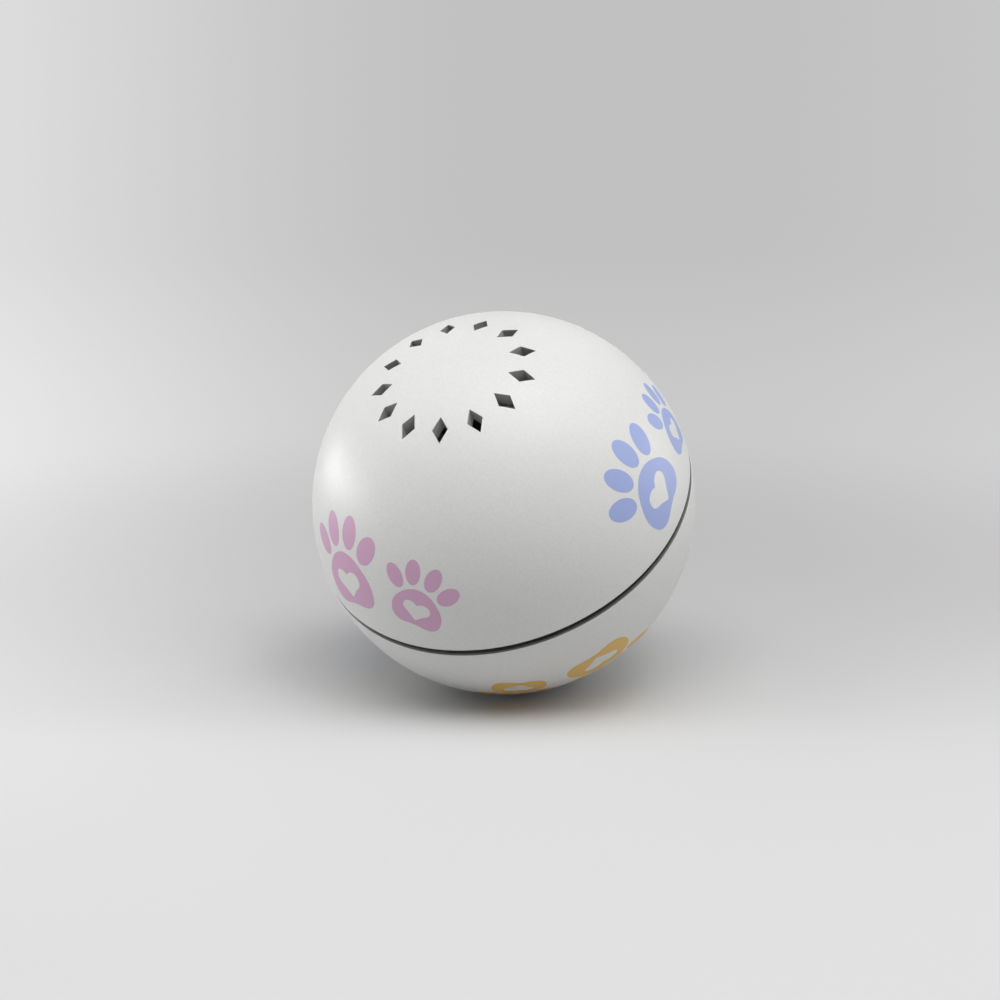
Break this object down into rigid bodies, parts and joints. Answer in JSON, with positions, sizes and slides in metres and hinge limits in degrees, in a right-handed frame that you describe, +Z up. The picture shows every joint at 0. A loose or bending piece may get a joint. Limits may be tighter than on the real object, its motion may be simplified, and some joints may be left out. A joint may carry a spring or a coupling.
{
  "type": "self-rolling cat ball",
  "caption": "Round motorised pet toy that splits at a seam: a weighted drive core turns on an axle inside a vented two-part shell and makes the ball roll by itself.",
  "frame": {"origin": "centre of the ball", "axes": "+Z up and the ball lying as pictured: the drive axle leans 36.6 degrees from +Z towards -Y, with the vented shell uppermost; +X is level"},
  "size_m": [0.07, 0.07, 0.07],
  "materials": {
    "shell": "satin pearl white",
    "seal": "matt black silicone",
    "bearing": "natural acetal",
    "lid": "fine matt",
    "steel": "ground",
    "spring_steel": "oiled",
    "frame": "fine spark texture",
    "deck": "fine spark texture",
    "weight": "zinc plated casting",
    "battery_foil": "laminated foil",
    "foam": "closed-cell foam",
    "guard": "polyimide tape",
    "motor_steel": "nickel plated",
    "motor_nylon": "matt",
    "brass": "turned",
    "gear_white": "moulded acetal",
    "gear_orange": "moulded acetal",
    "board": "solder mask",
    "socket_steel": "bright",
    "black_nylon": "matt",
    "chip": "moulded epoxy",
    "ceramic": "fired ceramic",
    "led": "clear resin",
    "sensor": "gilt can",
    "button": "satin",
    "connector": "nylon",
    "lead_red": "silicone",
    "lead_black": "silicone",
    "screw": "zinc plated"
  },
  "bodies": {
    "lower_shell": {"lower_shell": "shell", "axle": "steel", "drive_gear": "gear_white", "thrust_washer": "bearing", "axle_clip": "spring_steel"},
    "seal_ring": {"seal_ring": "seal"},
    "upper_shell": {"upper_shell": "shell", "upper_hub": "shell", "chamber_wall": "shell", "upper_bush": "bearing"},
    "catnip_lid": {"catnip_lid": "lid"},
    "core": {"core_frame": "frame", "core_bush": "bearing", "counterweight": "weight", "weight_screws": "screw", "battery": "battery_foil", "battery_pad": "foam", "battery_guard": "guard", "motor_can": "motor_steel", "motor_cap": "motor_nylon", "motor_terminals": "brass", "motor_screws": "screw", "gear_pins": "steel", "gear_deck": "deck", "deck_screws": "screw", "gear_bridge": "deck", "bridge_bush": "bearing", "bridge_screws": "screw", "circuit_board": "board", "board_screws": "screw", "usb_socket": "socket_steel", "usb_tongue": "black_nylon", "controller_chip": "chip", "charger_chip": "chip", "board_passives": "ceramic", "status_led": "led", "vibration_sensor": "sensor", "power_switch": "black_nylon", "battery_connector": "connector", "motor_connector": "connector", "battery_lead_plus": "lead_red", "battery_lead_minus": "lead_black", "motor_lead_plus": "lead_red", "motor_lead_minus": "lead_black"},
    "gear_2": {"compound_gear_2": "gear_white"},
    "gear_1": {"compound_gear_1": "gear_orange"},
    "motor_rotor": {"motor_pinion": "brass", "motor_shaft": "steel"},
    "power_button": {"power_button": "button"}
  },
  "joints": [
    {"name": "shell_twist", "type": "hinge", "parent": "lower_shell", "child": "seal_ring", "pos_m": [0, 0, 0], "axis": [0, -0.5962, 0.8028], "range_deg": [0, 25]},
    {"name": "shell_lift", "type": "slide", "parent": "seal_ring", "child": "upper_shell", "axis": [0, -0.5962, 0.8028], "range_m": [0, 0.065]},
    {"name": "catnip_lid_twist", "type": "hinge", "parent": "upper_shell", "child": "catnip_lid", "pos_m": [0, 0, 0], "axis": [0, -0.5962, 0.8028], "range_deg": [0, 22]},
    {"name": "core_spin", "type": "hinge", "parent": "lower_shell", "child": "core", "pos_m": [0, 0, 0], "axis": [0, -0.5962, 0.8028], "continuous": true},
    {"name": "gear_2_spin", "type": "hinge", "parent": "core", "child": "gear_2", "pos_m": [0.0094, 0.00141, 0.01562], "axis": [0, -0.5962, 0.8028], "continuous": true},
    {"name": "gear_1_spin", "type": "hinge", "parent": "core", "child": "gear_1", "pos_m": [-0.00307, 0.00143, 0.018], "axis": [0, -0.5962, 0.8028], "continuous": true},
    {"name": "motor_spin", "type": "hinge", "parent": "core", "child": "motor_rotor", "pos_m": [-0.01294, -0.00403, 0.01532], "axis": [0, -0.5962, 0.8028], "continuous": true},
    {"name": "power_press", "type": "slide", "parent": "core", "child": "power_button", "axis": [0, 0.5962, -0.8028], "range_m": [0, 0.0005], "stiffness_N_per_m": 3000}
  ],
  "couplings": [
    {"joint": "gear_2_spin", "follows": "core_spin", "ratio": 3},
    {"joint": "gear_1_spin", "follows": "core_spin", "ratio": -7.7143},
    {"joint": "motor_spin", "follows": "core_spin", "ratio": 21.857}
  ]
}
